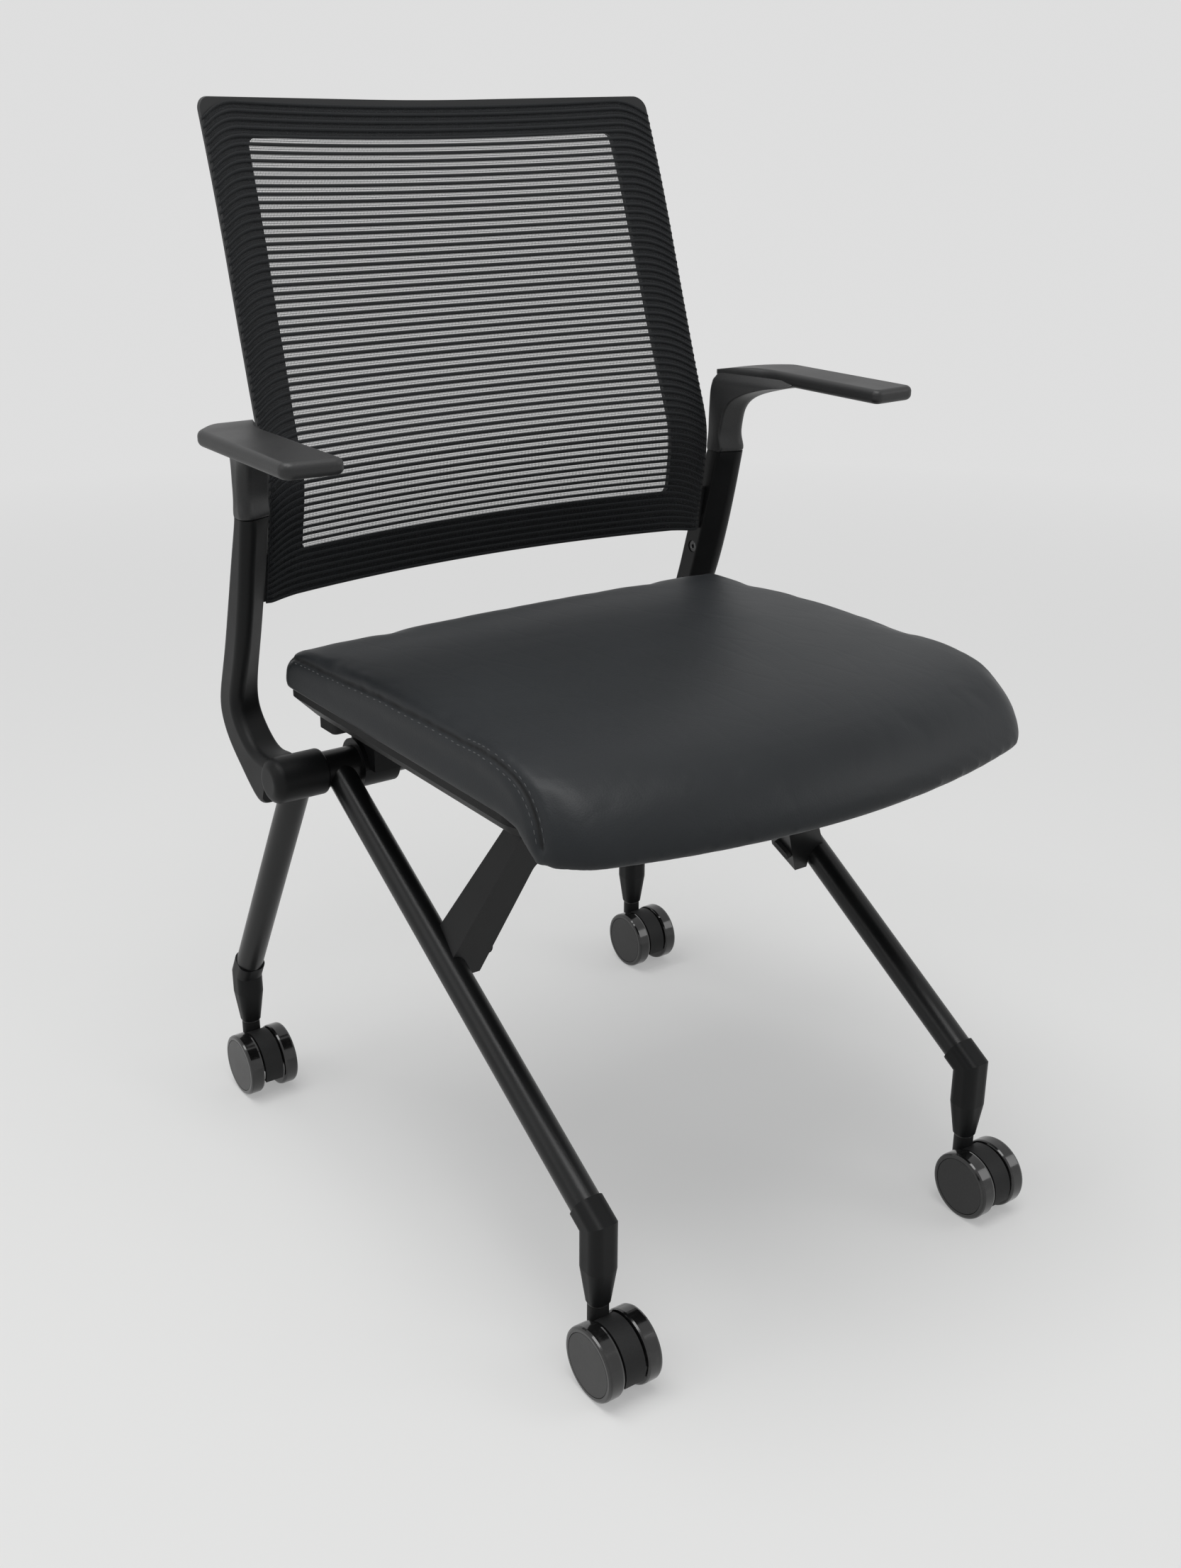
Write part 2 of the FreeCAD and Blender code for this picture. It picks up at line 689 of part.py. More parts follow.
def outline_prism(inset):
    # Front outline of the back, with its top edge dipping in the middle
    low = back_bottom_z + inset
    high = back_top_z - inset
    half_low = back_bottom_half - inset
    half_high = back_top_half - inset
    y0 = back_profile[5][0] - 60
    points = [V(-half_low, y0, low), V(half_low, y0, low), V(half_high, y0, high)]
    points += [V(0, y0, high - back_top_dip), V(-half_high, y0, high)]
    radii = [back_foot_r, back_foot_r, back_corner_r, 3000.0, back_corner_r]
    return prism(points, radii, V(0, 300, 0))


def window_prism(grow):
    y0 = back_profile[5][0] - 60
    points = [V(-window_bottom_half - grow, y0, window_bottom_z - grow)]
    points += [V(window_bottom_half + grow, y0, window_bottom_z - grow)]
    points += [V(window_top_half + grow, y0, window_top_z + grow)]
    points += [V(0, y0, window_top_z + grow - back_top_dip)]
    points += [V(-window_top_half - grow, y0, window_top_z + grow)]
    radii = [window_r, window_r, window_r, 3000.0, window_r]
    return prism(points, radii, V(0, 300, 0))


def tongue_y(z):
    return side_y(z) + mesh_t + frame_t / 2 + 1


def tongue(grow):
    # Flat key at the lower side of the ring that slides into the upright
    half = tongue_t / 2 + grow
    low = tongue_bottom_z - grow
    high = tongue_top_z + grow
    x0 = tongue_in_x
    points = [V(x0, tongue_y(low) - half, low), V(x0, tongue_y(low) + half, low)]
    points += [V(x0, tongue_y(high) + half, high), V(x0, tongue_y(high) - half, high)]
    face = Part.Face(Part.makePolygon(points + [points[0]]))
    return face.extrude(V(tongue_out_x + grow - x0, 0, 0))


def back_frame():
    slab = curved_slab(mesh_t, frame_t)
    ring = slab.common(outline_prism(frame_inset)).cut(window_prism(0))
    key = tongue(0)
    body = fuse_all([ring, key, mirrored(key)])
    for z in back_screw_z:
        for side in (-1, 1):
            x = side * back_screw_x
            body = body.cut(rod(V(x, tongue_y(z) - 1, z), V(x, tongue_y(z) + 20, z), back_screw_d / 2))
    return body


def back_screws():
    screws = []
    for side in (-1, 1):
        for z in back_screw_z:
            x = side * back_screw_x
            y = upright_rear_y(z) - 0.8
            head = rod(V(x, y - back_screw_head_t, z), V(x, y, z), back_screw_head_d / 2)
            shank = rod(V(x, tongue_y(z) - 1, z), V(x, y, z), back_screw_d / 2)
            drive = hex_socket(V(x, y, z), V(0, -1, 0), 3.0, 1.4)
            screws.append(head.fuse(shank).removeSplitter().cut(drive))
    return Part.makeCompound(screws)


def back_mesh():
    return curved_slab(0, mesh_t).common(outline_prism(0))


# Seat: cushion on a board, in a moulded pan hung from the cross tube


# Cover seam at the side of the seat as (y, z), rear to front
seam_profile = [
    (159.0, 475.0), (128.0, 477.5), (80.0, 480.0), (20.0, 483.5), (-40.0, 485.5), (-100.0, 486.5),
    (-145.0, 486.0), (-175.0, 482.5), (-197.0, 475.5), (-213.0, 463.5), (-224.0, 447.0), (-229.0, 431.0),
]


def cushion_ring(x):
    # Side profile at one station: crowned top, waterfall front, rounded edges
    side = abs(x) / seat_half
    over = max(0.0, abs(x) - (seat_half - seat_edge_r))
    drawn = seat_edge_r - math.sqrt(max(0.0, seat_edge_r ** 2 - over ** 2))
    drawn = min(drawn, seat_edge_r - 0.5)
    past = max(0.0, abs(x) - (seat_half - seat_corner_r))
    turned = seat_corner_r - math.sqrt(max(0.0, seat_corner_r ** 2 - past ** 2))
    bow = seat_bulge - x ** 2 / (2 * seat_front_arc) - turned
    points = [V(x, seat_rear_y - drawn, 455.0), V(x, seat_rear_y - 0.6 - drawn, 465.0 - drawn * 0.3)]
    for y, z in seam_profile:
        share = max(0.0, (120 - y) / 330)
        ahead = max(0.0, min(1.0, (40 - y) / 260))
        crown = seat_crown * (1 - side ** 2) * math.sin(math.pi * min(1, 0.25 + share * 0.75))
        points.append(V(x, y - bow * ahead + drawn * (2 * share - 1) * 0.9, z + crown - drawn))
    nose = points[-1]
    curve = Part.BSplineCurve()
    count = len(points)
    curve.interpolate(Points=points, Parameters=[i / (count - 1) for i in range(count)])
    lip = V(x, nose.y + 8, cushion_lip_z)
    tuck = V(x, nose.y + 40, cushion_bottom_z)
    base = V(x, seat_rear_y - 5 - drawn, cushion_bottom_z)
    edges = [curve.toShape(), Part.makeLine(nose, lip), Part.makeLine(lip, tuck)]
    edges += [Part.makeLine(tuck, base), Part.makeLine(base, points[0])]
    return Part.Wire(edges)


def seat_cushion():
    spots = [0.0, 60.0, 115.0, 160.0, 190.0, 206.0, 216.0, 223.0, 228.0, 231.3, 233.2, seat_half]
    stations = [-x for x in reversed(spots[1:])] + spots
    return loft([cushion_ring(x) for x in stations])


def pan_ring(inset, z):
    half = pan_half - inset
    front = pan_front_y + inset
    rear = pan_rear_y - inset
    points = [V(-half, front, z), V(half, front, z), V(half, rear, z), V(-half, rear, z)]
    return rounded(points, [pan_corner_r, pan_corner_r, pan_rear_r, pan_rear_r])


def seat_pan():
    # Tray with a thin upright rim and a belly that slopes in underneath
    rim_z = cushion_bottom_z - pan_rim_h
    band = Part.Face(pan_ring(0, rim_z)).extrude(V(0, 0, pan_rim_h))
    belly = Part.makeLoft([pan_ring(pan_slope, pan_floor_z), pan_ring(0, rim_z)], True, True)
    band_in = Part.Face(pan_ring(pan_t, rim_z)).extrude(V(0, 0, pan_rim_h + 1))
    low_in = pan_ring(pan_slope + pan_t, pan_floor_z + pan_t)
    belly_in = Part.makeLoft([low_in, pan_ring(pan_t, rim_z + 0.001)], True, True)
    body = fuse_all([band, belly]).cut(band_in).cut(belly_in)
    for x, y in seat_screw_spots():
        body = body.fuse(z_rod(x, y, pan_floor_z, rim_z, boss_r))
    body = body.removeSplitter()
    for x, y in seat_screw_spots():
        body = body.cut(z_rod(x, y, pan_floor_z - 1, rim_z + 1, seat_screw_d / 2))
    return body


def seat_screw_spots():
    rear = hinge_foot_y + 12
    spots = []
    for side in (-1, 1):
        spots += [(side * (hinge_x - 17), rear), (side * (hinge_x + 17), rear)]
        spots.append((side * hinge_x, pan_front_y + 60))
    return spots


def seat_screws():
    # Heads sit under the foot plates at the rear and under the pan in front
    screws = []
    top = cushion_bottom_z - 2
    for x, y in seat_screw_spots():
        under = pan_floor_z - (hinge_foot_t if y > 0 else 0)
        head = z_rod(x, y, under - seat_screw_head_t, under, seat_screw_head_d / 2)
        screw = head.fuse(z_rod(x, y, under - 1, top, seat_screw_d / 2)).removeSplitter()
        drive = hex_socket(V(x, y, under - seat_screw_head_t), V(0, 0, 1), 3.0, 1.6)
        screws.append(screw.cut(drive))
    return Part.makeCompound(screws)


def seat_board():
    rim_z = cushion_bottom_z - pan_rim_h
    ring = pan_ring(pan_t + board_clear, rim_z)
    board = Part.Face(ring).extrude(V(0, 0, pan_rim_h - board_clear))
    for x, y in seat_screw_spots():
        board = board.cut(z_rod(x, y, rim_z - 1, cushion_bottom_z - 2, seat_screw_d / 2))
    return board


def hinge_bracket(side):
    # Saddle over the cross tube with a foot plate under the pan
    x0 = side * hinge_x - hinge_w / 2
    outer_r = cross_r + run_clear + liner_t + hinge_wall
    ring = x_rod(x0, x0 + hinge_w, cross_y, cross_z, outer_r)
    web = block(x0 + 4, x0 + hinge_w - 4, hinge_foot_y + 26, cross_y + 10, cross_z, pan_floor_z - 1)
    foot_x = side * hinge_x - hinge_foot_w / 2
    low = pan_floor_z - hinge_foot_t
    far_y = hinge_foot_y + hinge_foot_len
    points = [V(foot_x, hinge_foot_y, low), V(foot_x + hinge_foot_w, hinge_foot_y, low)]
    points += [V(foot_x + hinge_foot_w, far_y, low), V(foot_x, far_y, low)]
    plate = prism(points, [8.0] * 4, V(0, 0, hinge_foot_t))
    body = fuse_all([ring, web, plate])
    body = body.cut(x_rod(x0 - 1, x0 + hinge_w + 1, cross_y, cross_z, outer_r - hinge_wall))
    lower = block(x0 - 1, x0 + hinge_w + 1, cross_y - 60, cross_y + 60, cross_z - 60, cross_z)
    body = body.cut(lower)
    for x, y in seat_screw_spots():
        body = body.cut(z_rod(x, y, low - 1, pan_floor_z + 1, seat_screw_d / 2))
    return body


def hinge_strap(side):
    x0 = side * hinge_x - hinge_w / 2
    outer_r = cross_r + run_clear + liner_t + hinge_wall
    ring = x_rod(x0, x0 + hinge_w, cross_y, cross_z, outer_r)
    upper = block(x0 - 1, x0 + hinge_w + 1, cross_y - 60, cross_y + 60, cross_z - strap_split, cross_z + 60)
    return ring.cut(x_rod(x0 - 1, x0 + hinge_w + 1, cross_y, cross_z, outer_r - hinge_wall)).cut(upper)


def hinge_liners():
    liners = []
    for side in (-1, 1):
        x0 = side * hinge_x - hinge_w / 2
        outer = x_rod(x0, x0 + hinge_w, cross_y, cross_z, cross_r + run_clear + liner_t)
        liners.append(outer.cut(x_rod(x0 - 1, x0 + hinge_w + 1, cross_y, cross_z, cross_r + run_clear)))
    return Part.makeCompound(liners)


def flip_stops():
    # Rubber blocks under the rear of the pan, above the front legs
    blocks = []
    for side in (-1, 1):
        x0 = side * stop_x - stop_w / 2
        z0 = pan_floor_z - stop_h
        points = [V(x0, stop_y, z0), V(x0 + stop_w, stop_y, z0)]
        points += [V(x0 + stop_w, stop_y + stop_len, z0), V(x0, stop_y + stop_len, z0)]
        blocks.append(prism(points, [4.0] * 4, V(0, 0, stop_h)))
    return Part.makeCompound(blocks)


def build():
    add("cross_tube", cross_tube())
    add_pair("front_leg", leg(front_leg_x, front_stem_y, front_knee_z))
    add_pair("rear_leg", leg(rear_leg_x, rear_stem_y, rear_knee_z))
    add_pair("front_foot", foot(front_leg_x, front_stem_y, front_knee_z))
    add_pair("rear_foot", foot(rear_leg_x, rear_stem_y, rear_knee_z))
    add("seat_support", seat_support())
    add("support_pads", support_pads())
    add("nesting_bumpers", nesting_bumpers())
    add_pair("upright", upright())
    screw = upright_screw()
    add("upright_screws", Part.makeCompound([screw, mirrored(screw)]))
    add_pair("arm", arm())
    add("back_frame", back_frame())
    add("back_screws", back_screws())
    add("back_mesh", back_mesh())
    add("seat_cushion", seat_cushion())
    add("seat_board", seat_board())
    add("seat_pan", seat_pan())
    add("seat_hinge_left", hinge_bracket(1))
    add("seat_hinge_right", hinge_bracket(-1))
    add("hinge_strap_left", hinge_strap(1))
    add("hinge_strap_right", hinge_strap(-1))
    add("hinge_liners", hinge_liners())
    add("flip_stops", flip_stops())
    add("seat_screws", seat_screws())
    for side, label in ((1, "left"), (-1, "right")):
        caster("front_" + label, side * front_leg_x, front_stem_y)
        caster("rear_" + label, side * rear_leg_x, rear_stem_y)


build()
os.makedirs("parts", exist_ok=True)
for name, shape in nodes.items():
    solids = len(shape.Solids)
    print(f"{name}: {solids} solid(s), {shape.Volume / 1000:.1f} cm3, valid {shape.isValid()}")
    shape.exportStep(f"parts/{name}.step")
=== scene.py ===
# Nesting chair with mesh back and leather seat, set up for a studio picture
import math

import bpy
from mathutils import Matrix, Vector
from mathutils.bvhtree import BVHTree
from mathutils.kdtree import KDTree


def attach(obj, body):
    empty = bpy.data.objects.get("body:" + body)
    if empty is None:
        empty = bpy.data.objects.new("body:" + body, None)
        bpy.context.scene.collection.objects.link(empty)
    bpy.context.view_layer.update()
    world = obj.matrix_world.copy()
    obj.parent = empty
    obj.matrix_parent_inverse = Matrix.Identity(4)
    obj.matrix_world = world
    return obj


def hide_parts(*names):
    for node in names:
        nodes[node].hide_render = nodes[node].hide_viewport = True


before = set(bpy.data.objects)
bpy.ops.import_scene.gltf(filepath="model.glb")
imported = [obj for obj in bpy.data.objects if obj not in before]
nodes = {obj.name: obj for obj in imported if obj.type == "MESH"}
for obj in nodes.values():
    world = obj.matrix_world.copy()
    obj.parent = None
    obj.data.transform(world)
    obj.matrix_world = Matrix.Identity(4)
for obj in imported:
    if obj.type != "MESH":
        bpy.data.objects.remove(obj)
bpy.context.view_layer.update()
shiftY = -0.0033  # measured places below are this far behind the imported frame
print("frame loaded,", len(nodes), "nodes")


# helpers that select, settle and finish a piece
def deselectAll():
    for obj in bpy.context.selected_objects:
        obj.select_set(False)


def makeActive(obj):
    deselectAll()
    obj.select_set(True)
    bpy.context.view_layer.objects.active = obj


def settle(obj):
    # place goes into the mesh, so the object sits at the origin
    makeActive(obj)
    bpy.ops.object.transform_apply(location=True, rotation=True, scale=True)


def applyModifier(obj, kind, **values):
    makeActive(obj)
    modifier = obj.modifiers.new(kind.lower(), kind)
    for key, value in values.items():
        setattr(modifier, key, value)
    bpy.ops.object.modifier_apply(modifier=modifier.name)


def smooth(obj, degrees):
    makeActive(obj)
    bpy.ops.object.shade_smooth_by_angle(angle=math.radians(degrees))


def finishPiece(obj, name, body, material):
    obj.name = name
    obj.data.name = name
    obj.data.materials.clear()
    obj.data.materials.append(material)
    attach(obj, body)
    return obj


def joined(parts):
    deselectAll()
    for part in parts:
        part.select_set(True)
    bpy.context.view_layer.objects.active = parts[0]
    bpy.ops.object.join()
    return bpy.context.view_layer.objects.active


def nodeCopy(nodeName):
    # loose triangles of a CAD node, merged into one skin
    source = nodes[nodeName]
    copy = bpy.data.objects.new(nodeName + "Copy", source.data.copy())
    bpy.context.scene.collection.objects.link(copy)
    makeActive(copy)
    bpy.ops.object.mode_set(mode="EDIT")
    bpy.ops.mesh.select_all(action="SELECT")
    bpy.ops.mesh.remove_doubles(threshold=0.00002)
    bpy.ops.mesh.normals_make_consistent(inside=False)
    bpy.ops.object.mode_set(mode="OBJECT")
    return copy


# a socket that can be added, multiplied and compared
class Wire:
    def __init__(self, finish, socket):
        self.finish = finish
        self.socket = socket

    def __add__(self, other):
        return self.finish.maths("ADD", self, other)

    __radd__ = __add__

    def __mul__(self, other):
        return self.finish.maths("MULTIPLY", self, other)

    __rmul__ = __mul__

    def __sub__(self, other):
        return self.finish.maths("SUBTRACT", self, other)

    def __rsub__(self, other):
        return self.finish.maths("SUBTRACT", other, self)

    def __lt__(self, other):
        return self.finish.maths("LESS_THAN", self, other)


class Finish:
    # one principled material; fixed values go on the shader's own sockets
    def __init__(self, name, **fixed):
        self.material = bpy.data.materials.new(name)
        self.material.use_nodes = True
        self.tree = self.material.node_tree
        self.shader = self.tree.nodes["Principled BSDF"]
        for key, value in fixed.items():
            self.shader.inputs[key.replace("_", " ")].default_value = value

    def add(self, kind, settings=None, sockets=None, out=0):
        node = self.tree.nodes.new(kind)
        for key, value in (settings or {}).items():
            if key == "stops":
                self.setStops(node.color_ramp, value)
            else:
                setattr(node, key, value)
        for key, value in (sockets or {}).items():
            if isinstance(value, Wire):
                self.tree.links.new(value.socket, node.inputs[key])
            else:
                node.inputs[key].default_value = value
        return Wire(self, node.outputs[out])

    def setStops(self, ramp, stops):
        while len(ramp.elements) < len(stops):
            ramp.elements.new(0.5)
        for element, (place, colour) in zip(ramp.elements, stops):
            element.position = place
            element.color = colour

    def maths(self, operation, first, second):
        return self.add("ShaderNodeMath", {"operation": operation}, {0: first, 1: second})

    def place(self):
        return self.add("ShaderNodeTexCoord", {}, {}, "Object")

    def noise(self, scale, detail=3.0, roughness=0.55, vector=None):
        sockets = {"Scale": scale, "Detail": detail, "Roughness": roughness}
        sockets["Vector"] = vector if vector else self.place()
        return self.add("ShaderNodeTexNoise", {}, sockets, "Fac")

    def cells(self, scale, feature="F1", vector=None):
        sockets = {"Scale": scale, "Vector": vector if vector else self.place()}
        return self.add("ShaderNodeTexVoronoi", {"feature": feature}, sockets, "Distance")

    def spread(self, value, low, high, toLow, toHigh):
        sockets = {"Value": value, "From Min": low, "From Max": high, "To Min": toLow, "To Max": toHigh}
        return self.add("ShaderNodeMapRange", {}, sockets)

    def blend(self, share, first, second):
        settings = {"data_type": "RGBA"}
        return self.add("ShaderNodeMix", settings, {0: share, 6: first, 7: second}, 2)

    def attribute(self, name):
        return self.add("ShaderNodeAttribute", {"attribute_name": name}, {}, "Fac")

    def bump(self, height, strength, distance, under=None):
        sockets = {"Height": height, "Strength": strength, "Distance": distance}
        if under:
            sockets["Normal"] = under
        return self.add("ShaderNodeBump", {}, sockets)

    def feed(self, **wires):
        for key, wire in wires.items():
            self.tree.links.new(wire.socket, self.shader.inputs[key.replace("_", " ")])
        return self.material


def grey(value, blue=1.0):
    return (value, value * (1 + (blue - 1) * 0.5), value * blue, 1.0)


def paintedTube():
    # satin powder coat: faint orange peel, a few duller patches
    paint = dict(base=grey(0.0055, 1.08), scuffed=grey(0.010, 1.05), gloss=(0.25, 0.35))
    finish = Finish("paintedTube", Specular_IOR_Level=0.28)
    patches = finish.noise(9.0, 4.0)
    peel = finish.noise(620.0, 2.0)
    colour = finish.blend(finish.spread(patches, 0.45, 0.75, 0.0, 1.0), paint["base"], paint["scuffed"])
    roughness = finish.spread(patches, 0.3, 0.7, *paint["gloss"])
    return finish.feed(Base_Color=colour, Roughness=roughness, Normal=finish.bump(peel, 0.10, 0.0006))


def mouldedPlastic(name, values):
    # spark-textured nylon, duller where hands and boxes have rubbed it
    finish = Finish(name, Specular_IOR_Level=values["specular"])
    smudges = finish.noise(14.0, 5.0)
    texture = finish.noise(values["grain"], 3.0, 0.6)
    pits = finish.cells(values["grain"] * 0.7)
    rough = finish.spread(smudges, 0.3, 0.7, values["rough"] - 0.05, values["rough"] + 0.05)
    speck = finish.spread(texture, 0.4, 0.7, 0.0, 1.0)
    colour = finish.blend(speck * 0.5 + smudges * 0.3, values["base"], values["light"])
    skin = finish.bump(texture + pits * 0.5, values["depth"], 0.0004)
    return finish.feed(Base_Color=colour, Roughness=rough, Normal=skin)


moulding = dict(base=grey(0.0045, 1.1), light=grey(0.0095, 1.08),
                rough=0.42, grain=1500.0, depth=0.14, specular=0.17)
armPad = dict(base=grey(0.0135, 1.04), light=grey(0.026, 1.03),
              rough=0.44, grain=1150.0, depth=0.22, specular=0.42)
hoodSkin = dict(base=grey(0.006, 1.05), light=grey(0.014, 1.04),
                rough=0.58, grain=1300.0, depth=0.28, specular=0.28)
ringSkin = dict(base=grey(0.008, 1.12), light=grey(0.015, 1.10),
                rough=0.44, grain=1700.0, depth=0.12, specular=0.3)
panSkin = dict(base=grey(0.007, 1.02), light=grey(0.014, 1.0),
               rough=0.48, grain=900.0, depth=0.18, specular=0.12)


def glossyTread():
    # polished nylon tyre with dust picked up from the floor
    finish = Finish("glossyTread", Specular_IOR_Level=0.5, Coat_Weight=0.35, Coat_Roughness=0.06)
    dust = finish.spread(finish.noise(130.0, 5.0), 0.55, 0.85, 0.0, 0.35)
    colour = finish.blend(dust, grey(0.006), grey(0.06, 0.95))
    rough = finish.spread(finish.noise(60.0, 4.0), 0.3, 0.7, 0.10, 0.20)
    ripple = finish.bump(finish.noise(300.0), 0.03, 0.0005)
    return finish.feed(Base_Color=colour, Roughness=rough + dust * 0.4, Normal=ripple)


def satinCap():
    finish = Finish("satinCap", Specular_IOR_Level=0.5)
    swirl = finish.noise(420.0, 3.0)
    rough = finish.spread(finish.noise(45.0, 3.0), 0.3, 0.7, 0.26, 0.34)
    colour = finish.blend(finish.spread(swirl, 0.5, 0.8, 0.0, 0.6), grey(0.009), grey(0.018))
    return finish.feed(Base_Color=colour, Roughness=rough, Normal=finish.bump(swirl, 0.05, 0.0004))


def blackRubber():
    finish = Finish("blackRubber", Specular_IOR_Level=0.35)
    grain = finish.noise(700.0, 4.0)
    colour = finish.blend(finish.noise(40.0), grey(0.012), grey(0.024))
    rough = finish.spread(grain, 0.3, 0.7, 0.7, 0.85)
    return finish.feed(Base_Color=colour, Roughness=rough, Normal=finish.bump(grain, 0.15, 0.0005))


def darkSteel():
    # blackened screws and pins with a trace of bare metal
    finish = Finish("darkSteel", Specular_IOR_Level=0.5)
    wear = finish.spread(finish.noise(260.0, 4.0), 0.5, 0.75, 0.0, 1.0)
    colour = finish.blend(wear, grey(0.05), grey(0.17, 1.02))
    rough = finish.spread(finish.noise(500.0, 2.0), 0.3, 0.7, 0.28, 0.44)
    ripple = finish.bump(finish.noise(900.0), 0.06, 0.0003)
    return finish.feed(Base_Color=colour, Metallic=wear * 0.4 + 0.5, Roughness=rough, Normal=ripple)


def seatPly():
    # dark-stained plies, edge on, with long grain
    finish = Finish("seatPly", Specular_IOR_Level=0.3)
    place = finish.place()
    stretched = finish.add("ShaderNodeMapping", {}, {"Vector": place, "Scale": (6.0, 60.0, 700.0)})
    grain = finish.noise(4.0, 5.0, 0.6, stretched)
    colour = finish.blend(grain, (0.016, 0.013, 0.010, 1), (0.032, 0.026, 0.020, 1))
    rough = finish.spread(grain, 0.3, 0.7, 0.55, 0.7)
    return finish.feed(Base_Color=colour, Roughness=rough, Normal=finish.bump(grain, 0.2, 0.0004))


def seatLeather():
    # fine pebbled leather, with painted shade darkening the sewn groove, and a few dust specks
    leather = dict(base=grey(0.0095, 1.36), light=grey(0.0135, 1.32),
                   shadedGroove=grey(0.003, 1.1), dust=grey(0.20))
    finish = Finish("seatLeather", Specular_IOR_Level=0.26, Sheen_Weight=0.02, Sheen_Roughness=0.4)
    pebble = finish.cells(760.0, "SMOOTH_F1")
    fine = finish.noise(1500.0, 3.0)
    clouds = finish.noise(5.5, 4.0)
    creases = finish.cells(34.0, "DISTANCE_TO_EDGE", finish.add(
        "ShaderNodeMapping", {}, {"Vector": finish.place(), "Scale": (1.0, 0.45, 1.0)}))
    gap = finish.attribute("seamGap")
    # mask of the sewn groove, used for its bump, its roughness and its painted shade
    shadedGroove = finish.spread(gap, 0.0004, 0.0026, 1.0, 0.0)
    dust = finish.cells(62.0) < finish.spread(finish.noise(7.0), 0.62, 0.75, 0.0, 0.045)
    colour = finish.blend(finish.spread(clouds, 0.35, 0.7, 0.0, 1.0), leather["base"], leather["light"])
    # painted shade: the groove's recess is darkened in the colour itself
    colour = finish.blend(shadedGroove, colour, leather["shadedGroove"])
    colour = finish.blend(dust * 0.8, colour, leather["dust"])
    rough = finish.spread(clouds, 0.3, 0.7, 0.40, 0.48) + shadedGroove * 0.2 + fine * 0.05
    skin = finish.bump(pebble * 0.7 + fine * 0.3, 0.16, 0.0005)
    folds = finish.bump(finish.spread(creases, 0.0, 0.12, 0.0, 1.0), 0.05, 0.0010, skin)
    sewn = finish.bump(1.0 - shadedGroove, 0.5, 0.0012, folds)
    return finish.feed(Base_Color=colour, Roughness=rough, Normal=sewn)


def sewingThread():
    finish = Finish("sewingThread", Specular_IOR_Level=0.3, Sheen_Weight=0.3)
    twist = finish.add("ShaderNodeTexWave", {"wave_type": "BANDS", "bands_direction": "DIAGONAL"}, {
        "Vector": finish.place(), "Scale": 900.0, "Distortion": 1.0}, "Fac")
    colour = finish.blend(twist, grey(0.022, 1.15), grey(0.055, 1.12))
    rough = finish.spread(twist, 0.0, 1.0, 0.5, 0.65)
    return finish.feed(Base_Color=colour, Roughness=rough, Normal=finish.bump(twist, 0.3, 0.0003))


def ribYarn():
    # heavy black yarns of the back, each a row of small loops
    finish = Finish("ribYarn", Specular_IOR_Level=0.2, Sheen_Weight=0.02)
    along = finish.add("ShaderNodeSeparateXYZ", {}, {"Vector": finish.place()}, "X")
    loops = finish.maths("PINGPONG", along * 1000.0, 0.75)
    fuzz = finish.noise(1900.0, 2.0)
    colour = finish.blend(finish.spread(loops, 0.0, 0.75, 0.0, 1.0), grey(0.004, 1.2), grey(0.014, 1.25))
    rough = finish.spread(fuzz, 0.3, 0.7, 0.6, 0.75)
    yarn = finish.bump(loops + fuzz * 0.4, 0.5, 0.0006)
    return finish.feed(Base_Color=colour, Roughness=rough, Normal=yarn)


# open net between the ribs: threads over the whole width, and how solid holes and threads look
netting = dict(acrossThreads=300.0, rowsPerRib=4.0, threadShare=0.32, rowShare=0.24,
               thin=0.20, thick=0.90)


def openNet(ribCount):
    # fine knitted net; the holes are cut by alpha on the sheet's own map
    finish = Finish("openNet", Specular_IOR_Level=0.2)
    mapped = finish.add("ShaderNodeTexCoord", {}, {}, "UV")
    across = finish.add("ShaderNodeSeparateXYZ", {}, {"Vector": mapped}, "X")
    up = finish.add("ShaderNodeSeparateXYZ", {}, {"Vector": mapped}, "Y")
    threads = finish.maths("PINGPONG", across * netting["acrossThreads"], 0.5)
    rows = finish.maths("PINGPONG", up * ribCount * netting["rowsPerRib"], 0.5)
    upright = threads < netting["threadShare"] * 0.5
    level = rows < netting["rowShare"] * 0.5
    contrast = netting["thick"] - netting["thin"]
    mask = finish.maths("MAXIMUM", upright, level) * contrast + netting["thin"]
    colour = finish.blend(finish.noise(900.0, 2.0), grey(0.010, 1.2), grey(0.022, 1.2))
    rough = finish.spread(threads, 0.0, 0.25, 0.5, 0.65)
    knit = finish.bump(threads + rows, 0.4, 0.0004)
    return finish.feed(Base_Color=colour, Roughness=rough, Alpha=mask, Normal=knit)


finishes = {
    "paint": paintedTube(),
    "moulding": mouldedPlastic("mouldedNylon", moulding),
    "armPad": mouldedPlastic("armSkin", armPad),
    "hood": mouldedPlastic("hoodNylon", hoodSkin),
    "ring": mouldedPlastic("backRing", ringSkin),
    "pan": mouldedPlastic("seatPanSkin", panSkin),
    "tread": glossyTread(),
    "cap": satinCap(),
    "rubber": blackRubber(),
    "steel": darkSteel(),
    "ply": seatPly(),
    "leather": seatLeather(),
    "thread": sewingThread(),
    "rib": ribYarn(),
}
print("finishes made:", len(finishes))


